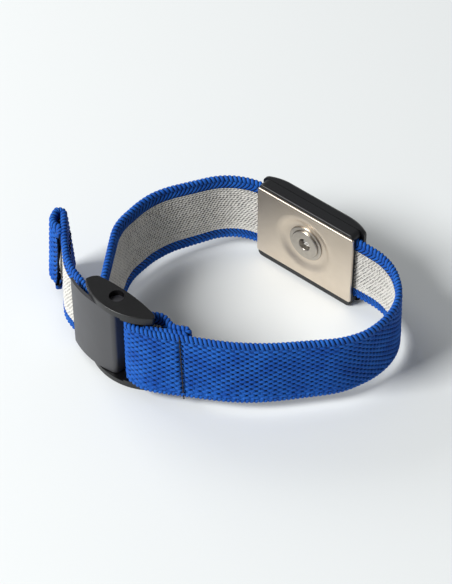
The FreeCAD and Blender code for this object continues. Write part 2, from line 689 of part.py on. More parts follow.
def all_parts():
    loop_place, hem_place = seam_places()
    return {
        "contact_plate": contact_plate(),
        "snap_eyelet": snap_eyelet(),
        "snap_stud": snap_stud(),
        "housing_base": housing_base(),
        "housing_cover": housing_cover(),
        "buckle_frame": buckle_frame(),
        "buckle_lever": buckle_lever(),
        "elastic_band": elastic_band(),
        "conductive_face": conductive_face(),
        "loop_seam": seam(loop_place),
        "hem_seam": seam(hem_place),
    }


def place_on_origin(parts):
    """Move everything so that the origin is under the middle of the whole part, on its base."""
    box = FreeCAD.BoundBox()
    for shape in parts.values():
        box.add(shape.optimalBoundingBox(False, False))
    shift = Vector(-box.Center.x, -box.Center.y, -box.ZMin)
    for shape in parts.values():
        shape.translate(shift)
    return shift, box


def main():
    parts = all_parts()
    shift, box = place_on_origin(parts)
    for name, shape in parts.items():
        shape.exportStep(os.path.join("parts", name + ".step"))
        print(f"{name:16s} solids {len(shape.Solids)} valid {shape.isValid()} volume {shape.Volume:9.2f}")
    stud = Vector(0, COVER_BACK_Y + STUD_NECK_LENGTH + STUD_HEAD_LENGTH / 2, MID_Z) + shift
    print("size", round(box.XLength, 3), round(box.YLength, 3), round(box.ZLength, 3))
    print("shift", shift)
    print("stud head centre", stud)
    print("lever pivot", PIVOT + UP * MID_Z + shift)


main()
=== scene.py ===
import json
import math

import bpy
import numpy as np
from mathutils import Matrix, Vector


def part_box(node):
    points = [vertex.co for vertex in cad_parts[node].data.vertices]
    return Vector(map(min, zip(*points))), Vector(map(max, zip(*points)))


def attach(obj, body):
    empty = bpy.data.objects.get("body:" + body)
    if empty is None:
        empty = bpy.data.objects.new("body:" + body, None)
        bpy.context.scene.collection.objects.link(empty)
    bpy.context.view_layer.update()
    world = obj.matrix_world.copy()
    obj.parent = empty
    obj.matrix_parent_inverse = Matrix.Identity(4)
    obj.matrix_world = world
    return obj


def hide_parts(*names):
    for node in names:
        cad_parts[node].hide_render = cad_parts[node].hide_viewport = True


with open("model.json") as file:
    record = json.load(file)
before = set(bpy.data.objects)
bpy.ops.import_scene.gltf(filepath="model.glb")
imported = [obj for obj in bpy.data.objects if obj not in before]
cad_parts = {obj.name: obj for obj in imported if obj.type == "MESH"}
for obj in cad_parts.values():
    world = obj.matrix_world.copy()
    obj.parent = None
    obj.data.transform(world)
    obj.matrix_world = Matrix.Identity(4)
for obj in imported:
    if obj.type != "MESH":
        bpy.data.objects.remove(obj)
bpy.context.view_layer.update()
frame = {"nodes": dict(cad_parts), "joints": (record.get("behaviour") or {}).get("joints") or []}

# ---------------------------------------------------------------- places from the frame, in metres
MM = 0.001
BODY = "strap"

stud_low, stud_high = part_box("snap_stud")
band_low, band_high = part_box("elastic_band")
plate_low, plate_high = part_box("contact_plate")
MID_X = (stud_low.x + stud_high.x) / 2
MID_Z = (stud_low.z + stud_high.z) / 2
WRIST_Y = plate_low.y
PIVOT = Vector(frame["joints"][0]["pos_m"])

# ---------------------------------------------------------------- the knitted band, in millimetres
BAND_WIDTH = round((band_high.z - band_low.z) / MM, 3)
BAND_THICK = 1.5
LAYER_GAP = 0.15
LAYER_PITCH = BAND_THICK + LAYER_GAP

WALE = 0.725                   # height of one row of the blue face
COURSE = 2.02                  # length of one float in a row
RIB = COURSE / 2               # pitch of the ribs round the selvedge
SILVER_ROW = 0.6               # height of one row of the silver face
FACE_ROWS = 22                 # rows of the blue face
FACE_HALF = FACE_ROWS / 2 * WALE
SILVER_HALF = 10.2 * SILVER_ROW
ROLL_HALF = BAND_THICK / 2 + 0.03
SURFACE = BAND_THICK / 2 + 0.02   # where the silver face and the thread lie, from the band's middle

# ---- the buckle's bars, from the lever's pivot, and the band's bend round each
LOOP_BAR = (6.2, -1.0)
LOOP_BEND = 1.75
CLAMP_BAR = (-5.2, 0.4)
CLAMP_BEND = 1.65

# ---- the sewn loop: how far its seam, fold and ends lie along the front from the band's foot
SEAM_REACH = 7.9
SEAM_SHIFT = 0.8               # of the stitches past the seam's place
SEAM_SLANT = 0.9               # how far the row of stitches leans over the band's width
LOOP_END_REACH = 7.8
LOOP_FOLD_REACH = 1.9
LOOP_FOLD_RADIUS = 0.8
LOOP_INNER_PITCH = 1.9         # in layers
LOOP_INNER_REACH = 1.6
INNER_LAYER = (9.4, 4.3)       # from the lever's pivot
INNER_LAYER_RADIUS = 3

# ---- the band's line round the wrist, from the stud's axis and the plate's face
FOOT_REACH = 3.2
FOOT_RADIUS = 15
FRONT_CORNER = (15.2, -38.6)
FRONT_RADIUS = 50
RIGHT_SHOULDER = (32.9, -19.4)
RIGHT_SHOULDER_RADIUS = 22
RIGHT_BACK_X = 31.2
RIGHT_BACK_RADIUS = 15.5
LEFT_BACK_X = -20.4
LEFT_BACK_RADIUS = 14
LEFT_SHOULDER = (-30.7, -16.2)
LEFT_SHOULDER_RADIUS = 20
LEFT_FOOT = (-30.4, -28.2)
LEFT_FOOT_RADIUS = 14

# ---- the band's line through the clamp and out to the folded tail
CLAMP_ENTRY_REACH = 6.3
CLAMP_ENTRY_RADIUS = 3.5
CLAMP_EXIT_REACH = 6.4
CLAMP_EXIT_RADIUS = 3
TAIL_BEND = (-17.7, 2.2)       # from the lever's pivot
TAIL_BEND_RADIUS = 12
TAIL_CORNER = (-37.3, -39.5)   # from the stud's axis and the plate's face
TAIL_CORNER_RADIUS = 20
TAIL_HEADING = math.radians(130)
TAIL_REACH = 9.7
FOLD_WIDTH = 2.4
FOLD_RADIUS = 1.15
BELLY_REACH = 5.2
BELLY_WIDTH = 4.2
BELLY_RADIUS = 4.0
HEM_TURN_REACH = 3.3
HEM_TURN_RADIUS = 1.6
HEM_END_REACH = 1.1
HEM_FROM_END = 1.3             # of the hem's stitches

# ---- the snap's bore, from its axis; inside it the rivet's colour is painted in shade
BORE_RADIUS = 1.3
BORE_RIM = 1.6


# ---------------------------------------------------------------- the band's line

def millimetres(point):
    """A place of the frame as (x, y) in millimetres from the stud's axis and the plate's face."""
    return np.array([(point.x - MID_X) / MM, (point.y - WRIST_Y) / MM])


def band_corners():
    """Corners of the band's centre line and the radius of the bend at each, from the end folded
    into the loop, round the wrist and the clamp bar, to the hem of the tail."""
    pivot = millimetres(PIVOT)
    loop_bar = pivot + LOOP_BAR
    clamp_bar = pivot + CLAMP_BAR
    band_y = (plate_high.y - WRIST_Y) / MM + BAND_THICK / 2
    foot = loop_bar + (FOOT_REACH, -LOOP_BEND)
    front_corner = np.array(FRONT_CORNER)
    front = (front_corner - foot) / np.linalg.norm(front_corner - foot)
    inward = np.array([-front[1], front[0]]) * LAYER_PITCH
    seam = foot + front * SEAM_REACH
    tail_corner = np.array(TAIL_CORNER)
    tail = np.array([math.cos(TAIL_HEADING), math.sin(TAIL_HEADING)])
    aside = np.array([-tail[1], tail[0]])
    tip = tail_corner + tail * TAIL_REACH
    clamp_right = clamp_bar[0] + CLAMP_BEND
    clamp_top = clamp_bar[1] + CLAMP_BEND
    clamp_low = clamp_bar[1] - CLAMP_BEND
    return {
        "loop_end": (seam + inward - front * LOOP_END_REACH, 0),
        "loop_fold": (seam + inward + front * LOOP_FOLD_REACH, LOOP_FOLD_RADIUS),
        "loop_return": (seam + inward * LOOP_INNER_PITCH + front * LOOP_FOLD_REACH, LOOP_FOLD_RADIUS),
        "loop_inner": (seam + inward * LOOP_INNER_PITCH - front * LOOP_INNER_REACH, INNER_LAYER_RADIUS),
        "inner_layer": (pivot + INNER_LAYER, INNER_LAYER_RADIUS),
        "loop_bar_back": (loop_bar + (-LOOP_BEND, LOOP_BEND), LOOP_BEND),
        "loop_bar_front": (loop_bar + (-LOOP_BEND, -LOOP_BEND), LOOP_BEND),
        "foot": (foot, FOOT_RADIUS),
        "front_corner": (front_corner, FRONT_RADIUS),
        "right_shoulder": (np.array(RIGHT_SHOULDER), RIGHT_SHOULDER_RADIUS),
        "right_back": (np.array([RIGHT_BACK_X, band_y]), RIGHT_BACK_RADIUS),
        "left_back": (np.array([LEFT_BACK_X, band_y]), LEFT_BACK_RADIUS),
        "left_shoulder": (np.array(LEFT_SHOULDER), LEFT_SHOULDER_RADIUS),
        "left_foot": (np.array(LEFT_FOOT), LEFT_FOOT_RADIUS),
        "clamp_entry": (np.array([pivot[0] - CLAMP_ENTRY_REACH, clamp_top]), CLAMP_ENTRY_RADIUS),
        "clamp_bar_back": (np.array([clamp_right, clamp_top]), CLAMP_BEND),
        "clamp_bar_front": (np.array([clamp_right, clamp_low]), CLAMP_BEND),
        "clamp_exit": (np.array([pivot[0] - CLAMP_EXIT_REACH, clamp_low]), CLAMP_EXIT_RADIUS),
        "tail_bend": (pivot + TAIL_BEND, TAIL_BEND_RADIUS),
        "tail_corner": (tail_corner, TAIL_CORNER_RADIUS),
        "tail_tip": (tip, FOLD_RADIUS),
        "tail_fold": (tip + aside * FOLD_WIDTH, FOLD_RADIUS),
        "belly": (tail_corner + tail * BELLY_REACH + aside * BELLY_WIDTH, BELLY_RADIUS),
        "hem_turn": (tail_corner + tail * HEM_TURN_REACH + aside * LAYER_PITCH, HEM_TURN_RADIUS),
        "hem_end": (tail_corner + tail * HEM_END_REACH + aside * LAYER_PITCH, 0),
    }


def rounded_line(corners, step=0.25):
    """Points along the corners' runs and tangent arcs, and the length at each corner's arc.
    An arc that finds no room in its runs gets a smaller radius."""
    points = [np.asarray(point, float) for point, radius in corners]
    heads = [(b - a) / np.linalg.norm(b - a) for a, b in zip(points, points[1:])]
    turns = [0.0]
    for a, b in zip(heads, heads[1:]):
        turns.append(math.atan2(a[0] * b[1] - a[1] * b[0], float(np.dot(a, b))))
    turns.append(0.0)
    reach = [radius * math.tan(abs(turn) / 2) for (point, radius), turn in zip(corners, turns)]
    share = [1.0] * len(points)
    for i, (a, b) in enumerate(zip(points, points[1:])):
        fit = min(1.0, np.linalg.norm(b - a) / (reach[i] + reach[i + 1]))
        share[i] = min(share[i], fit)
        share[i + 1] = min(share[i + 1], fit)
    reach = [r * s for r, s in zip(reach, share)]

    line = [points[0]]
    marks = [0.0]
    length = 0.0
    for i in range(1, len(points)):
        start = points[i] - heads[i - 1] * reach[i]
        run = np.linalg.norm(start - line[-1])
        count = max(1, int(run / step))
        for k in range(count):
            line.append(line[-1] + (start - line[-1]) / (count - k))
        length += run
        if i == len(points) - 1:
            break
        radius = reach[i] / math.tan(abs(turns[i]) / 2)
        across = np.array([-heads[i - 1][1], heads[i - 1][0]]) * math.copysign(1, turns[i])
        centre = start + across * radius
        spoke = start - centre
        count = max(3, int(radius * abs(turns[i]) / step))
        marks.append(length + radius * abs(turns[i]) / 2)
        for k in range(1, count + 1):
            angle = turns[i] * k / count
            turned = np.array([spoke[0] * math.cos(angle) - spoke[1] * math.sin(angle),
                               spoke[0] * math.sin(angle) + spoke[1] * math.cos(angle)])
            line.append(centre + turned)
        length += radius * abs(turns[i])
    marks.append(length)
    return np.array(line), marks


CORNERS = band_corners()
BAND_LINE, corner_marks = rounded_line(CORNERS.values())
MARKS = dict(zip(CORNERS, corner_marks))
BAND_LENGTH = MARKS["hem_end"]
HIDDEN_LENGTH = (MARKS["right_back"] + MARKS["left_back"]) / 2   # the middle of the run inside the housing
SEAM_LENGTH = MARKS["foot"] + SEAM_REACH
HEM_LENGTH = BAND_LENGTH - HEM_FROM_END
# how far the band leans at some of its corners, in degrees; positive tips its upper edge outwards
LEANS = {
    "loop_end": 0, "loop_bar_back": 0, "loop_bar_front": 0, "foot": -4.5, "front_corner": -2,
    "right_shoulder": 3.5, "right_back": -3, "left_back": 3.5, "left_shoulder": 9.5, "left_foot": 8,
    "clamp_entry": 1, "tail_bend": 4, "tail_corner": 0, "tail_tip": -4, "tail_fold": -2, "belly": -4,
    "hem_end": -4,
}


def lean_at(length):
    """How far the band stands out of true at a length along it, where nothing holds it upright."""
    marks = [MARKS[name] for name in LEANS]
    return math.radians(float(np.interp(length, marks, list(LEANS.values()))))


def band_path():
    """The band's centre line as a curve that flat knitting is laid along."""
    data = bpy.data.curves.new("band_path", "CURVE")
    data.dimensions = "3D"
    data.twist_mode = "Z_UP"
    spline = data.splines.new("POLY")
    spline.points.add(len(BAND_LINE) - 1)
    steps = np.linalg.norm(np.diff(BAND_LINE, axis=0), axis=1)
    lengths = np.concatenate([[0.0], np.cumsum(steps)])
    for point, place, length in zip(spline.points, BAND_LINE, lengths):
        point.co = (MID_X + place[0] * MM, WRIST_Y + place[1] * MM, MID_Z, 1)
        point.tilt = lean_at(length)
    path = bpy.data.objects.new("band_path", data)
    bpy.context.scene.collection.objects.link(path)
    path.hide_render = True
    return path


# ---------------------------------------------------------------- materials

def linear(code):
    """An sRGB hex colour as linear RGBA."""
    parts = [int(code[i:i + 2], 16) / 255 for i in (0, 2, 4)]
    return tuple(c / 12.92 if c <= 0.04045 else ((c + 0.055) / 1.055) ** 2.4 for c in parts) + (1.0,)


def add(tree, kind, links=None, **settings):
    """Adds a node. links and settings name its sockets by name or index, or its own properties."""
    node = tree.nodes.new(kind)
    for key, value in settings.items():
        setattr(node, key, value)
    for key, value in (links or {}).items():
        if hasattr(value, "is_output"):
            tree.links.new(value, node.inputs[key])
        else:
            node.inputs[key].default_value = value
    return node


def new_material(name):
    material = bpy.data.materials.new(name)
    material.use_nodes = True
    shader = next(n for n in material.node_tree.nodes if n.type == "BSDF_PRINCIPLED")
    return material, material.node_tree, shader


def dress(obj, material):
    obj.data.materials.clear()
    obj.data.materials.append(material)


def knit_blue(name):
    """Textured polyester covering yarn on an elastic core: matt, a soft sheen at the edges, and
    painted shade, near black, where the floats part and the rubber core lies in shadow."""
    material, tree, shader = new_material(name)
    painted_shade = add(tree, "ShaderNodeAttribute", attribute_name="painted_shade").outputs["Fac"]
    fabric = add(tree, "ShaderNodeUVMap", uv_map="fabric").outputs["UV"]
    # filaments of about 0.12 mm across the yarn, drawn coarse enough to show
    fibres = add(tree, "ShaderNodeTexNoise", {"Vector": add(
        tree, "ShaderNodeMapping", {"Vector": fabric, "Scale": (2.0, 9.0, 1.0)}).outputs[0],
        "Scale": 1.0, "Detail": 3.0, "Roughness": 0.6}).outputs["Fac"]
    # cloudy patches a few millimetres across, where the covering yarn lies thinner
    patches = add(tree, "ShaderNodeTexNoise",
                  {"Vector": fabric, "Scale": 0.22, "Detail": 2.0}).outputs["Fac"]
    # painted shade: the ramp darkens the knit where its floats part and where it puckers
    deep = add(tree, "ShaderNodeValToRGB", {"Fac": painted_shade})
    deep.color_ramp.elements[0].position = 0.08
    deep.color_ramp.elements[0].color = (1, 1, 1, 1)
    deep.color_ramp.elements[1].position = 0.85
    deep.color_ramp.elements[1].color = (0, 0, 0, 1)
    streak = add(tree, "ShaderNodeMix", {"Factor": fibres, "A": linear("083f98"), "B": linear("3a8cec")},
                 data_type="RGBA")
    cloudy = add(tree, "ShaderNodeMix", {"Factor": patches, "A": linear("03338c"),
                                         "B": streak.outputs["Result"]}, data_type="RGBA")
    # the near-black blue painted as shade in the floats' gaps and the puckers
    colour = add(tree, "ShaderNodeMix", {"Factor": deep.outputs["Color"], "A": linear("01060f"),
                                         "B": cloudy.outputs["Result"]}, data_type="RGBA")
    tree.links.new(colour.outputs["Result"], shader.inputs["Base Color"])
    bump = add(tree, "ShaderNodeBump", {"Height": fibres, "Strength": 0.35, "Distance": 0.08 * MM})
    tree.links.new(bump.outputs["Normal"], shader.inputs["Normal"])
    shader.inputs["Roughness"].default_value = 0.62
    shader.inputs["Specular IOR Level"].default_value = 0.12
    shader.inputs["Sheen Weight"].default_value = 0.02
    shader.inputs["Sheen Roughness"].default_value = 0.4
    shader.inputs["Sheen Tint"].default_value = linear("7c9cf0")
    return material


def knit_silver(name):
    """Silver-plated nylon yarn knitted flat: warm grey, a faint metallic glint, and pin holes in painted
    shade.
    """
    material, tree, shader = new_material(name)
    painted_shade = add(tree, "ShaderNodeAttribute", attribute_name="painted_shade").outputs["Fac"]
    fabric = add(tree, "ShaderNodeUVMap", uv_map="fabric").outputs["UV"]
    fibres = add(tree, "ShaderNodeTexNoise", {"Vector": add(
        tree, "ShaderNodeMapping", {"Vector": fabric, "Scale": (1.6, 8.0, 1.0)}).outputs[0],
        "Scale": 1.0, "Detail": 3.0, "Roughness": 0.65}).outputs["Fac"]
    yarn = add(tree, "ShaderNodeMix", {"Factor": fibres, "A": linear("d6d3cb"), "B": linear("f0eee8")},
               data_type="RGBA")
    # painted shade: the yarn turns dark brown-grey in the dashes and the grooves between strands
    colour = add(tree, "ShaderNodeMix", {"Factor": painted_shade, "A": yarn.outputs["Result"],
                                         "B": linear("1f1d1b")}, data_type="RGBA")
    tree.links.new(colour.outputs["Result"], shader.inputs["Base Color"])
    bump = add(tree, "ShaderNodeBump", {"Height": fibres, "Strength": 0.3, "Distance": 0.06 * MM})
    tree.links.new(bump.outputs["Normal"], shader.inputs["Normal"])
    shader.inputs["Roughness"].default_value = 0.5
    shader.inputs["Metallic"].default_value = 0.15
    shader.inputs["Sheen Weight"].default_value = 0.15
    return material


def moulded(name, base, speck, roughness, grain_mm, bump_mm, shine):
    """Injection-moulded black plastic with a fine spark-eroded grain."""
    material, tree, shader = new_material(name)
    place = add(tree, "ShaderNodeTexCoord").outputs["Object"]
    grain = add(tree, "ShaderNodeTexNoise", {"Vector": place, "Scale": 1 / (grain_mm * MM),
                                             "Detail": 2.0, "Roughness": 0.55}).outputs["Fac"]
    flow = add(tree, "ShaderNodeTexNoise",
               {"Vector": place, "Scale": 1 / (9 * MM), "Detail": 3.0}).outputs["Fac"]
    colour = add(tree, "ShaderNodeMix", {"Factor": grain, "A": linear(base), "B": linear(speck)},
                 data_type="RGBA")
    tree.links.new(colour.outputs["Result"], shader.inputs["Base Color"])
    rough = add(tree, "ShaderNodeMapRange",
                {"Value": flow, "To Min": roughness - 0.06, "To Max": roughness + 0.08})
    tree.links.new(rough.outputs["Result"], shader.inputs["Roughness"])
    bump = add(tree, "ShaderNodeBump", {"Height": grain, "Strength": 0.5, "Distance": bump_mm * MM})
    tree.links.new(bump.outputs["Normal"], shader.inputs["Normal"])
    shader.inputs["Specular IOR Level"].default_value = shine
    return material


def rolled_steel(name):
    """Stainless sheet with a fine bead-blasted satin: warm grey, blurred reflections."""
    material, tree, shader = new_material(name)
    place = add(tree, "ShaderNodeTexCoord").outputs["Object"]
    grain = add(tree, "ShaderNodeTexNoise",
                {"Vector": place, "Scale": 1 / (0.25 * MM), "Detail": 3.0}).outputs["Fac"]
    smear = add(tree, "ShaderNodeTexNoise",
                {"Vector": place, "Scale": 1 / (6 * MM), "Detail": 4.0}).outputs["Fac"]
    colour = add(tree, "ShaderNodeMix", {"Factor": smear, "A": linear("d0c2b0"), "B": linear("e4d8c8")},
                 data_type="RGBA")
    tree.links.new(colour.outputs["Result"], shader.inputs["Base Color"])
    rough = add(tree, "ShaderNodeMapRange", {"Value": smear, "To Min": 0.34, "To Max": 0.44})
    tree.links.new(rough.outputs["Result"], shader.inputs["Roughness"])
    bump = add(tree, "ShaderNodeBump", {"Height": grain, "Strength": 0.25, "Distance": 0.01 * MM})
    tree.links.new(bump.outputs["Normal"], shader.inputs["Normal"])
    shader.inputs["Metallic"].default_value = 1.0
    return material


def plated_brass(name):
    """Nickel plating on a turned rivet: smoother than the sheet, with painted shade inside its bore."""
    material, tree, shader = new_material(name)
    place = add(tree, "ShaderNodeTexCoord").outputs["Object"]
    wear = add(tree, "ShaderNodeTexNoise",
               {"Vector": place, "Scale": 1 / (1.2 * MM), "Detail": 4.0}).outputs["Fac"]
    bright = add(tree, "ShaderNodeMix", {"Factor": wear, "A": linear("a59e95"), "B": linear("c2bbb0")},
                 data_type="RGBA")
    flat = add(tree, "ShaderNodeVectorMath", {0: place, 1: (1.0, 0.0, 1.0)},
               operation="MULTIPLY").outputs[0]
    out = add(tree, "ShaderNodeVectorMath", {0: flat, 1: (MID_X, 0.0, MID_Z)},
              operation="DISTANCE").outputs["Value"]
    # painted shade: the colour turns dark brown inside the bore, fading out towards its rim
    bore = add(tree, "ShaderNodeMapRange",
               {"Value": out, "From Min": BORE_RADIUS * MM, "From Max": BORE_RIM * MM})
    colour = add(tree, "ShaderNodeMix", {"Factor": bore.outputs["Result"], "A": linear("3a2f28"),
                                         "B": bright.outputs["Result"]}, data_type="RGBA")
    tree.links.new(colour.outputs["Result"], shader.inputs["Base Color"])
    rough = add(tree, "ShaderNodeMapRange", {"Value": wear, "To Min": 0.26, "To Max": 0.36})
    tree.links.new(rough.outputs["Result"], shader.inputs["Roughness"])
    shader.inputs["Metallic"].default_value = 1.0
    return material


def sewing_thread(name):
    """Bonded black nylon thread: twisted, slightly glossy."""
    material, tree, shader = new_material(name)
    place = add(tree, "ShaderNodeTexCoord").outputs["Object"]
    twist = add(tree, "ShaderNodeTexWave", {"Vector": place, "Scale": 1 / (1.6 * MM), "Distortion": 2.0},
                bands_direction="DIAGONAL").outputs["Fac"]
    colour = add(tree, "ShaderNodeMix", {"Factor": twist, "A": linear("020203"), "B": linear("0b0c11")},
                 data_type="RGBA")
    tree.links.new(colour.outputs["Result"], shader.inputs["Base Color"])
    shader.inputs["Roughness"].default_value = 0.6
    return material


# ---------------------------------------------------------------- knitting, in millimetres

RANDOM = np.random.default_rng(7)
ROW_STEPS = 5                  # rows of vertices for each row of floats
FLOAT_STEPS = 12               # columns of vertices for each float
RIB_STEPS = 7                  # columns of vertices for each rib
SILVER_STEPS = 90              # rows of vertices over the silver face
MERGE_REACH = 0.002            # within which the edges of a rolled strip join

# ---- the blue face: floats with painted shade between them, drawn in along each row of stitches
FLOAT_HALF_LENGTH = 0.86
FLOAT_HALF_HEIGHT = 0.52
FLOAT_BLUNTNESS = 2.4          # over 2, a float's ends are blunter than an oval's
FLOAT_SLANT = 0.30
FLOAT_DEPTH = 0.58             # from a float's crest to the ground beside it
CREST_LIFT = 0.10              # of the crests over the band's core
RIM_WIDTH = 0.3                # over which the face sinks into the selvedge
RIM_DEPTH = 0.1
PUFF = 0.03
SEAM_PUCKER = 0.42
SEAM_PUCKER_WIDTH = 0.6
HEM_PUCKER = 0.3
HEM_PUCKER_WIDTH = 0.5
SHADE_BELOW = 0.64             # share of a float's height under which its flank gets painted shade
SHADE_RANGE = 0.42
# painted shade in the puckers along the rows of stitches
PUCKER_SHADE = 0.9

# ---- the silver face: strands with a dash of painted shade between each two
DASH_SLANT = math.radians(-28)
DASH_PITCH = 0.42 * COURSE
DASH_HALF_LENGTH = 0.28
DASH_HALF_WIDTH = 0.16
DASH_DEPTH = 0.24
DASH_SHADE = 2.0
STRAND_SLANT = 0.2
STRAND_DEPTH = 0.14
STRAND_SHADE = 0.06
STRAND_CLEAR = 0.02            # of that shade which doesn't show
DRAW_ROWS = 64                 # rows and columns after which the unevenness comes again
DRAW_COLUMNS = 257

# ---- the selvedge: ribs round its roll, then a groove and a braid beside the silver face
ROLL_STEPS = 10
BRAID_STEPS = 5
RIB_SLANT = 0.28
RIB_DEPTH = 0.34
RIB_FLATNESS = 1.15            # over 1, a crest is flat
GROOVE_FLATNESS = 1.2
RIB_ROUNDNESS = 0.75
BRAID_SLANT = 0.9
BRAID_DEPTH = 0.2
BRAID_ROUNDNESS = 0.8
BRAID_TOOTH = 0.22             # how far the braid's edge swings over the silver face
UNSEEN_DEPTH = 0.9
RIB_SHADE_FROM = 0.28          # share of a slit's depth at which its painted shade starts
RIB_SHADE_RANGE = 0.35
LOWER_SHADE = 0.45             # painted shade of the slits under the lower edge, against the upper one's

# ---- the stitches
THREAD_RADIUS = 0.17
THREAD_SIDES = 8
THREAD_STEP = 0.15
THREAD_PINCH = 0.25            # how much thinner the thread is where it dives in
STITCH_PITCH = 1.5
STITCH_SHIFT = 0.3
STITCH_DIVE = 0.30
DIVE_SHARPNESS = 5             # the higher, the shorter the dip between two stitches
STITCH_OVERRUN = 0.3           # of each row past the band's lower edge
LOOP_OUTER_TOP = 9.1
LOOP_INNER_TOP = 8.4
HEM_TOP = 8.8


def ripple(size, count, seed):
    """Smooth unevenness from -1 to 1 along one direction, as a sum of a few waves."""
    rng = np.random.default_rng(seed)
    waves = rng.uniform(0.02, 0.2, count) * size
    phases = rng.uniform(0, 2 * math.pi, count)
    return lambda s: sum(np.sin(s * w + p) for w, p in zip(waves, phases)) / count


def floats(s, z):
    """Height (0 to 1) of staggered yarn floats: rows of low oval beads that overlap each other."""
    height = np.zeros_like(s)
    line = np.floor(z / WALE + 0.5)
    for step in (-1, 0, 1):
        row = line + step
        up = z - row * WALE
        shift = 0.5 * np.mod(row, 2)
        along = (s + FLOAT_SLANT * up) / COURSE + shift
        for near in (0, 1):
            across = (along - np.floor(along) - near) * COURSE
            bead = 1 - np.abs(across / FLOAT_HALF_LENGTH) ** FLOAT_BLUNTNESS - (up / FLOAT_HALF_HEIGHT) ** 2
            height = np.maximum(height, np.sqrt(np.clip(bead, 0, 1)))
    return height


def grid_strip(name, columns, rows):
    """A flat grid primitive, with each vertex's column and row."""
    bpy.ops.object.select_all(action="DESELECT")
    bpy.ops.mesh.primitive_grid_add(x_subdivisions=columns, y_subdivisions=rows, size=2)
    strip = bpy.context.object
    strip.name = strip.data.name = name
    flat = np.empty(len(strip.data.vertices) * 3)
    strip.data.vertices.foreach_get("co", flat)
    flat = flat.reshape(-1, 3)
    column = np.rint((flat[:, 0] + 1) / 2 * columns).astype(int)
    row = np.rint((flat[:, 1] + 1) / 2 * rows).astype(int)
    return strip, column, row


def set_places(strip, places, fabric, painted_shade):
    """Moves a grid's vertices to places in metres, with their UVs and how deep in shadow they lie."""
    strip.data.vertices.foreach_set("co", places.ravel())
    attribute = strip.data.attributes.new("painted_shade", "FLOAT", "POINT")
    attribute.data.foreach_set("value", np.ascontiguousarray(painted_shade, dtype=np.float32))
    loops = np.empty(len(strip.data.loops), dtype=np.int32)
    strip.data.loops.foreach_get("vertex_index", loops)
    while strip.data.uv_layers:
        strip.data.uv_layers.remove(strip.data.uv_layers[0])
    layer = strip.data.uv_layers.new(name="fabric")
    layer.data.foreach_set("uv", np.ascontiguousarray(fabric[loops], dtype=np.float32).ravel())
    strip.data.update()


def close_and_lay(strip, path, material):
    """Joins the rolled strip's long edges, closes its ends and lays it along the band's line."""
    bpy.ops.object.select_all(action="DESELECT")
    strip.select_set(True)
    bpy.context.view_layer.objects.active = strip
    bpy.ops.object.mode_set(mode="EDIT")
    bpy.ops.mesh.select_all(action="SELECT")
    bpy.ops.mesh.remove_doubles(threshold=MERGE_REACH * MM)
    bpy.ops.mesh.fill_holes(sides=0)
    bpy.ops.mesh.select_all(action="SELECT")
    bpy.ops.mesh.normals_make_consistent(inside=False)
    bpy.ops.object.mode_set(mode="OBJECT")
    bend = strip.modifiers.new("lay", "CURVE")
    bend.object = path
    bend.deform_axis = "POS_X"
    bpy.ops.object.modifier_apply(modifier=bend.name)
    bpy.ops.object.shade_smooth()
    dress(strip, material)
    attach(strip, BODY)


def face_grid(name, start, end, column_size, row_count, half):
    """A strip of one face between two lengths: its lengths, heights and which vertices show."""
    columns = int((end - start) / column_size)
    strip, column, row = grid_strip(name, columns, row_count + 2)
    s = start + column * ((end - start) / columns)
    z = np.clip((row - 1) / row_count, 0, 1) * 2 * half - half
    return strip, s, z, (row >= 1) & (row <= row_count + 1)


def seam_at(z):
    """Length at which the loop's seam crosses the outer layer; the row of stitches leans."""
    return SEAM_LENGTH + SEAM_SHIFT - SEAM_SLANT * z / BAND_WIDTH


def hem_at(z):
    """Length at which the hem is stitched; this row stands straight."""
    return np.full_like(z, HEM_LENGTH)


def finish_face(strip, s, y, z, front, painted_shade, behind, path, material):
    """Lays a face whose back is drawn in to the band's middle and given painted shade by behind."""
    places = np.stack([s, np.where(front, y, 0.0), np.where(front, z, 0.0)], axis=1) * MM
    set_places(strip, places, np.stack([s, z], axis=1), np.where(front, painted_shade, behind))
    close_and_lay(strip, path, material)
    return strip


def blue_face(name, start, end, path, material):
    """The outer face: staggered floats with a plain back inside the band."""
    strip, s, z, front = face_grid(name, start, end, COURSE / FLOAT_STEPS, ROW_STEPS * FACE_ROWS, FACE_HALF)
    wander = 0.10 * ripple(1.0, 6, 3)(s + 7 * z)
    bob = 0.08 * ripple(1.3, 5, 5)(s) + 0.05 * ripple(4.0, 5, 6)(s * 2 + z)
    height = floats(s + wander, z + bob)
    puff = ripple(3.0, 5, 8)(s * 1.3 + 4 * z)
    pucker = SEAM_PUCKER * np.exp(-((s - seam_at(z)) / SEAM_PUCKER_WIDTH) ** 2)
    pucker = pucker + HEM_PUCKER * np.exp(-((s - HEM_LENGTH) / HEM_PUCKER_WIDTH) ** 2)
    rim = np.clip((FACE_HALF - np.abs(z)) / RIM_WIDTH, 0, 1)
    y = -(BAND_THICK / 2 + CREST_LIFT) + FLOAT_DEPTH * (1 - height) + RIM_DEPTH * (1 - rim)
    y = y - PUFF * puff + pucker
    # painted shade on the floats' flanks, in their gaps and in the puckers at the seam and hem
    painted_shade = np.clip((SHADE_BELOW - height) / SHADE_RANGE, 0, 1) + PUCKER_SHADE * pucker
    # the blue face's hidden back is painted fully in shade
    return finish_face(strip, s, y, z, front, painted_shade, 1.0, path, material)


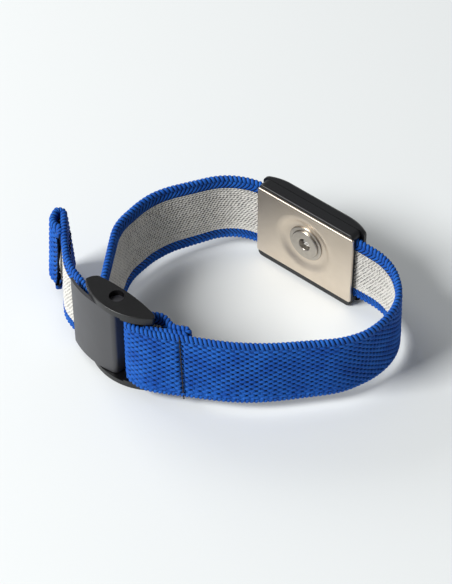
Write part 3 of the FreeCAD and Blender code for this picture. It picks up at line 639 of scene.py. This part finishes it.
def silver_face(name, start, end, path, material):
    """The inner face: slanted strands with a short dash of painted shade between each two, uneven in depth.
    """
    strip, s, z, front = face_grid(name, start, end, RIB / RIB_STEPS, SILVER_STEPS, SILVER_HALF)
    up = (z + 0.05 * ripple(1.7, 5, 23)(s)) / SILVER_ROW
    row = np.floor(up).astype(int)
    shift = 0.5 * (row % 2) + RANDOM.uniform(0, 0.35, DRAW_ROWS)[row % DRAW_ROWS]
    along = (s + 0.08 * ripple(1.0, 6, 21)(s + 5 * z)) / DASH_PITCH + shift
    column = np.floor(along).astype(int)
    strength = RANDOM.uniform(0.45, 1.1, (DRAW_ROWS, DRAW_COLUMNS))[row % DRAW_ROWS, column % DRAW_COLUMNS]
    across = (along - column - 0.5) * DASH_PITCH
    rise = (up - row - 0.5) * SILVER_ROW
    dash = across * math.cos(DASH_SLANT) + rise * math.sin(DASH_SLANT)
    width = rise * math.cos(DASH_SLANT) - across * math.sin(DASH_SLANT)
    pit = np.exp(-(dash / DASH_HALF_LENGTH) ** 2 - (width / DASH_HALF_WIDTH) ** 2)
    strand = 0.5 + 0.5 * np.cos(2 * math.pi * (rise + STRAND_SLANT * across) / SILVER_ROW)
    y = SURFACE - STRAND_DEPTH * strand - DASH_DEPTH * pit
    # painted shade in the dashes, of random strength, and faintly along the strands' grooves
    painted_shade = np.clip(DASH_SHADE * pit * strength + STRAND_SHADE * strand - STRAND_CLEAR, 0, 1)
    return finish_face(strip, s, y, z, front, painted_shade, 0, path, material)


def selvedge_section():
    """The selvedge's section as (across, up), from behind the blue face's edge, round the roll
    and the braid, to behind the silver face, and the rows where its groove and braid start."""
    roll_centre = BAND_WIDTH / 2 - ROLL_HALF
    section = [(0.0, FACE_HALF - 0.35), (-0.45, FACE_HALF - 0.3),
               (-ROLL_HALF, FACE_HALF - 0.05), (-ROLL_HALF, FACE_HALF + 0.15)]
    for k in range(ROLL_STEPS + 1):
        angle = math.pi * k / ROLL_STEPS
        section.append((-ROLL_HALF * math.cos(angle), roll_centre + ROLL_HALF * math.sin(angle)))
    section += [(ROLL_HALF - 0.03, roll_centre - 0.2), (ROLL_HALF - 0.12, roll_centre - 0.4)]
    groove = len(section)
    section += [(ROLL_HALF - 0.2, roll_centre - 0.62), (ROLL_HALF - 0.12, roll_centre - 0.82)]
    braid = len(section)
    for k in range(BRAID_STEPS + 1):
        share = k / BRAID_STEPS
        section.append((ROLL_HALF - 0.06 + 0.12 * math.sin(math.pi * share),
                        roll_centre - 1.0 - 1.15 * share))
    section += [(ROLL_HALF - 0.3, SILVER_HALF - 0.25), (0.1, SILVER_HALF - 0.1), (0.0, FACE_HALF - 0.35)]
    return np.array(section), groove, braid


def selvedge(name, side, path, material):
    """The edge of the band: yarn ribs rolled round it and a braided row beside the silver face, with
    painted shade in the slits.
    """
    section, groove, braid = selvedge_section()
    rows = len(section) - 1
    columns = int(BAND_LENGTH / (RIB / RIB_STEPS))
    strip, column, row = grid_strip(name, columns, rows)
    unrolled = np.concatenate([[0.0], np.cumsum(np.linalg.norm(np.diff(section, axis=0), axis=1))])
    tangents = np.gradient(section, axis=0)
    inward = np.stack([tangents[:, 1], -tangents[:, 0]], axis=1)
    inward /= np.linalg.norm(inward, axis=1, keepdims=True)
    s = column * (BAND_LENGTH / columns)
    y, z, v = section[row, 0], section[row, 1], unrolled[row]

    on_roll = (row >= 2) & (row < groove)
    on_groove = (row >= groove) & (row < braid)
    on_braid = (row >= braid) & (row < rows - 1)
    uneven = 0.12 * ripple(1.0, 6, 11 + side)(s)
    rib_phase = (s + RIB_SLANT * v + uneven) / RIB
    braid_phase = (s - BRAID_SLANT * v + uneven) / RIB
    rib = np.clip(RIB_FLATNESS * np.abs(np.sin(math.pi * rib_phase)), 0, 1) ** RIB_ROUNDNESS
    between = np.clip(GROOVE_FLATNESS * np.abs(np.cos(math.pi * rib_phase)), 0, 1) ** RIB_ROUNDNESS
    twist = np.abs(np.sin(math.pi * braid_phase)) ** BRAID_ROUNDNESS
    depth = np.select([on_roll, on_braid, on_groove], [1 - rib, 1 - twist, 1 - between], UNSEEN_DEPTH)
    sink = np.select([on_roll, on_braid | on_groove], [RIB_DEPTH * depth, BRAID_DEPTH * depth], 0.0)
    on_tooth = (row >= rows - 3) & (row < rows)
    y = y + inward[row, 0] * sink
    z = z + inward[row, 1] * sink - np.where(on_tooth, BRAID_TOOTH * (twist - 0.5), 0)
    # painted shade in the slits between the ribs, in the groove and on the rows out of sight; less on the
    # lower roll
    painted_shade = np.clip((depth - RIB_SHADE_FROM) / RIB_SHADE_RANGE, 0, 1)
    if side < 0:
        painted_shade = np.where(on_roll, LOWER_SHADE * painted_shade, painted_shade)
    set_places(strip, np.stack([s, y, side * z], axis=1) * MM, np.stack([v, s], axis=1), painted_shade)
    close_and_lay(strip, path, material)
    return strip


def stitches(name, centre, depth, outward, top, path, material):
    """One row of lock stitches up the band at a length: each stitch lies on the knit and dives in."""
    bottom = -BAND_WIDTH / 2 - STITCH_OVERRUN
    columns = int((top - bottom) / THREAD_STEP)
    strip, column, row = grid_strip(name, columns, THREAD_SIDES)
    z = bottom + column / columns * (top - bottom)
    angle = 2 * math.pi * row / THREAD_SIDES
    dive = np.abs(np.cos(math.pi * (z + STITCH_SHIFT) / STITCH_PITCH)) ** DIVE_SHARPNESS
    radius = THREAD_RADIUS * (1 - THREAD_PINCH * dive)
    s = centre(z) + 0.05 * ripple(9.0, 4, 40)(z * 3) + radius * np.cos(angle)
    y = depth - outward * (STITCH_DIVE * dive) + radius * np.sin(angle)
    set_places(strip, np.stack([s, y, z], axis=1) * MM, np.stack([z, angle], axis=1), dive)
    close_and_lay(strip, path, material)
    return strip


# ---------------------------------------------------------------- the pieces

path = band_path()
blue = knit_blue("blue_polyester_knit")
silver = knit_silver("silver_plated_nylon_knit")
halves = {"front": (0.0, HIDDEN_LENGTH), "back": (HIDDEN_LENGTH, BAND_LENGTH)}
faces = [blue_face("band_face_" + half, *span, path, blue) for half, span in halves.items()]
inner = [silver_face("conductive_face_" + half, *span, path, silver) for half, span in halves.items()]
edges = [selvedge("band_selvedge_top", 1, path, blue), selvedge("band_selvedge_bottom", -1, path, blue)]
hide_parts("elastic_band")
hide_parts("conductive_face")
thread = sewing_thread("black_nylon_thread")
loop_inside = LOOP_INNER_PITCH * LAYER_PITCH + SURFACE
hem_inside = LAYER_PITCH + SURFACE
loop_rows = [stitches("loop_stitches_outer", seam_at, -SURFACE, -1, LOOP_OUTER_TOP, path, thread),
             stitches("loop_stitches_inner", seam_at, loop_inside, 1, LOOP_INNER_TOP, path, thread)]
hem_rows = [stitches("hem_stitches_flap", hem_at, -SURFACE, -1, HEM_TOP, path, thread),
            stitches("hem_stitches_tail", hem_at, hem_inside, 1, HEM_TOP, path, thread)]
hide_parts("loop_seam")
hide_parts("hem_seam")
bpy.data.objects.remove(path)

rivet = plated_brass("nickel_plated_brass")
housing = moulded("black_abs_moulded", base="0a0b0d", speck="131417", roughness=0.42,
                  grain_mm=0.35, bump_mm=0.02, shine=0.5)
FINISHES = {
    "contact_plate": rolled_steel("satin_stainless_sheet"),
    "snap_eyelet": rivet,
    "snap_stud": rivet,
    "housing_base": housing,
    "housing_cover": housing,
    "buckle_frame": moulded("black_nylon_moulded", base="030304", speck="09090b", roughness=0.34,
                            grain_mm=0.3, bump_mm=0.03, shine=0.5),
    "buckle_lever": moulded("black_nylon_satin", base="29292c", speck="333337", roughness=0.42,
                            grain_mm=0.3, bump_mm=0.015, shine=0.8),
}
for node, finish in FINISHES.items():
    dress(frame["nodes"][node], finish)

# ---------------------------------------------------------------- studio, in metres

FLOOR_SIZE = 3.0
WORLD_STRENGTH = 0.30
CAMERA_AZIMUTH = math.radians(39.8)
CAMERA_ELEVATION = math.radians(46.83)
CAMERA_DISTANCE = 0.4786
CAMERA_TARGET = (MID_X - 9.8 * MM, WRIST_Y - 14.0 * MM, 0)
CAMERA_CLIP = (0.01, 10)
SENSOR_WIDTH = 36              # the sensor and the lens in millimetres
LENS = 127.4
LENS_SHIFT = (-0.0094178082, 0.0049657534)


def studio_floor():
    bpy.ops.object.select_all(action="DESELECT")
    bpy.ops.mesh.primitive_plane_add(size=FLOOR_SIZE, location=(0, 0, 0))
    floor = bpy.context.object
    floor.name = "studio_floor"
    material, _, shader = new_material("pale_paper")
    shader.inputs["Base Color"].default_value = linear("e0e3e3")
    shader.inputs["Roughness"].default_value = 0.6
    dress(floor, material)


def surroundings():
    """A pale, even light from all round."""
    world = bpy.data.worlds.new("studio")
    bpy.context.scene.world = world
    world.use_nodes = True
    background = world.node_tree.nodes["Background"]
    background.inputs["Color"].default_value = linear("edeff0")
    background.inputs["Strength"].default_value = WORLD_STRENGTH


def softbox(name, place, aim, side, power):
    """A square lamp of white light at a place, turned to face another."""
    data = bpy.data.lights.new(name, "AREA")
    data.shape = "RECTANGLE"
    data.size = data.size_y = side
    data.energy = power
    lamp = bpy.data.objects.new(name, data)
    bpy.context.scene.collection.objects.link(lamp)
    lamp.location = place
    lamp.rotation_euler = (Vector(aim) - Vector(place)).to_track_quat("-Z", "Y").to_euler()


def camera():
    back = Vector((math.sin(CAMERA_AZIMUTH) * math.cos(CAMERA_ELEVATION),
                   -math.cos(CAMERA_AZIMUTH) * math.cos(CAMERA_ELEVATION),
                   math.sin(CAMERA_ELEVATION)))
    data = bpy.data.cameras.new("camera")
    data.sensor_width = SENSOR_WIDTH
    data.lens = LENS
    data.shift_x, data.shift_y = LENS_SHIFT
    data.clip_start, data.clip_end = CAMERA_CLIP
    eye = bpy.data.objects.new("camera", data)
    bpy.context.scene.collection.objects.link(eye)
    eye.location = Vector(CAMERA_TARGET) + back * CAMERA_DISTANCE
    eye.rotation_euler = (-back).to_track_quat("-Z", "Y").to_euler()
    bpy.context.scene.camera = eye


studio_floor()
camera()
surroundings()
softbox("key", place=(-0.43, -0.90, 0.88), aim=(0, 0, 0), side=0.5, power=21.5)
softbox("side_wash", place=(-0.72, 0.12, 0.5), aim=(0, 0.02, 0), side=0.4, power=2.4)
bpy.context.scene.view_settings.view_transform = "Standard"
